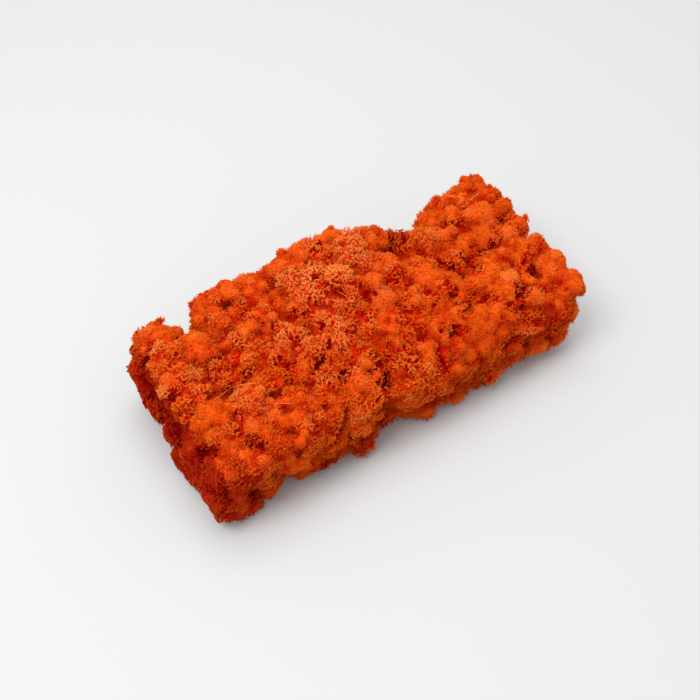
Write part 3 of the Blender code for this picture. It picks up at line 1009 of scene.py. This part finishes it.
        # painted shade in the gaps between the strands
        gap_shade = ramp(tree, (-360, -650), [(0.0, (1.0, 1.0, 1.0)), (0.16, (0.97, 0.90, 0.9)), (0.42, (0.62, 0.35, 0.3))])
        link(strands.outputs["Distance"], gap_shade.inputs["Fac"])
        sixth = mix(tree, (180, 50), "MULTIPLY")
        sixth.inputs["Factor"].default_value = web
        link(last, sixth.inputs["A"])
        link(gap_shade.outputs["Color"], sixth.inputs["B"])
        last = sixth.outputs["Result"]
        height = strands.outputs["Distance"]
        bump.invert = True
        bump.inputs["Strength"].default_value = 0.8
        bump.inputs["Distance"].default_value = 0.0009

    link(height, bump.inputs["Height"])
    link(bump.outputs["Normal"], shader.inputs["Normal"])
    link(last, shader.inputs["Base Color"])
    shader.inputs["Specular IOR Level"].default_value = 0.03
    # thin twigs let some of the light through, the red most of all
    shader.inputs["Subsurface Weight"].default_value = 0.62
    shader.inputs["Subsurface Radius"].default_value = (1.0, 0.3, 0.1)
    shader.inputs["Subsurface Scale"].default_value = 0.0015
    return material


# ------------------------------------------------------------ stage and light
def plain(name, colour, roughness):
    material = bpy.data.materials.new(name)
    material.use_nodes = True
    shader = material.node_tree.nodes["Principled BSDF"]
    shader.inputs["Base Color"].default_value = (*colour, 1.0)
    shader.inputs["Roughness"].default_value = roughness
    shader.inputs["Specular IOR Level"].default_value = 0.1
    return material


def add_stage():
    mesh = bpy.data.meshes.new("floor")
    s = 6.0
    mesh.from_pydata([(-s, -s, 0), (s, -s, 0), (s, s, 0), (-s, s, 0)], [], [(0, 1, 2, 3)])
    floor = bpy.data.objects.new("floor", mesh)
    bpy.context.scene.collection.objects.link(floor)
    mesh.materials.append(plain("pale_floor", (0.47, 0.475, 0.48), 0.7))


def area_light(name, at, aim, size, power, colour=(1, 1, 1)):
    data = bpy.data.lights.new(name, "AREA")
    data.shape, data.size, data.energy, data.color = "DISK", size, power, colour
    lamp = bpy.data.objects.new(name, data)
    bpy.context.scene.collection.objects.link(lamp)
    lamp.location = at
    lamp.rotation_mode = "QUATERNION"
    lamp.rotation_quaternion = (Vector(aim) - Vector(at)).to_track_quat("-Z", "Y")


def add_lights():
    world = bpy.data.worlds.new("studio")
    bpy.context.scene.world = world
    world.use_nodes = True
    sky = world.node_tree.nodes["Background"]
    sky.inputs["Color"].default_value = (1.0, 1.0, 1.0, 1.0)
    sky.inputs["Strength"].default_value = 0.95
    area_light("key", (-0.9, -0.1, 1.9), (0, 0, 0.05), 1.1, 30.0, (1.0, 0.985, 0.96))
    area_light("top", (0.3, 0.5, 2.2), (0, 0, 0.05), 1.6, 22.0)


# --------------------------------------------------------------------- build
add_camera()
add_lights()
add_stage()
lichen, matted = lichen_material("dyed_lichen", 0.0), lichen_material("matted_stems", 1.0)

heads = top_heads()
heads += filling_heads(heads)
pits = all_pits()
lobes = lobes_of(heads)

groups = {}


def twigs_for(head, lobe):
    x = lobe.centre[0]
    if head.place == "side":
        n = head.axis
        if abs(n[0]) > abs(n[1]):
            name = "heads_left_end" if n[0] < 0 else "heads_right_end"
        else:
            name = ("heads_front" if n[1] < 0 else "heads_back") + ("_left" if x < 0 else "_right")
    else:
        name = "heads_top_" + ("a" if x < -0.098 else "b" if x < 0 else "c" if x < 0.09 else "d")
    if name not in groups:
        groups[name] = Twigs(name)
    return groups[name]


grow(lobes, heads, pits, twigs_for)
mat, spots, normals, marks = mat_piece(heads, lobes, pits, matted)
groups["inner_twigs"] = Twigs("inner_twigs")
lining(groups["inner_twigs"], spots, normals, marks, 23500)
groups["pressed_underside"] = Twigs("pressed_underside")
underside(groups["pressed_underside"])
groups["stray_stems"] = Twigs("stray_stems")
strays(groups["stray_stems"], mat)

made = [mat]
for name in sorted(groups):
    made.append(groups[name].make(lichen))
for piece in made:
    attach(piece, "root")
    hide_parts("moss_clump")

view = bpy.context.scene.view_settings
view.view_transform = "Standard"
view.look = "None"

total = 0
for piece in made:
    count = sum(len(p.vertices) - 2 for p in piece.data.polygons)
    total += count
    print("piece", piece.name, count)
print("triangles", total, "heads", len(heads), "lobes", len(lobes))
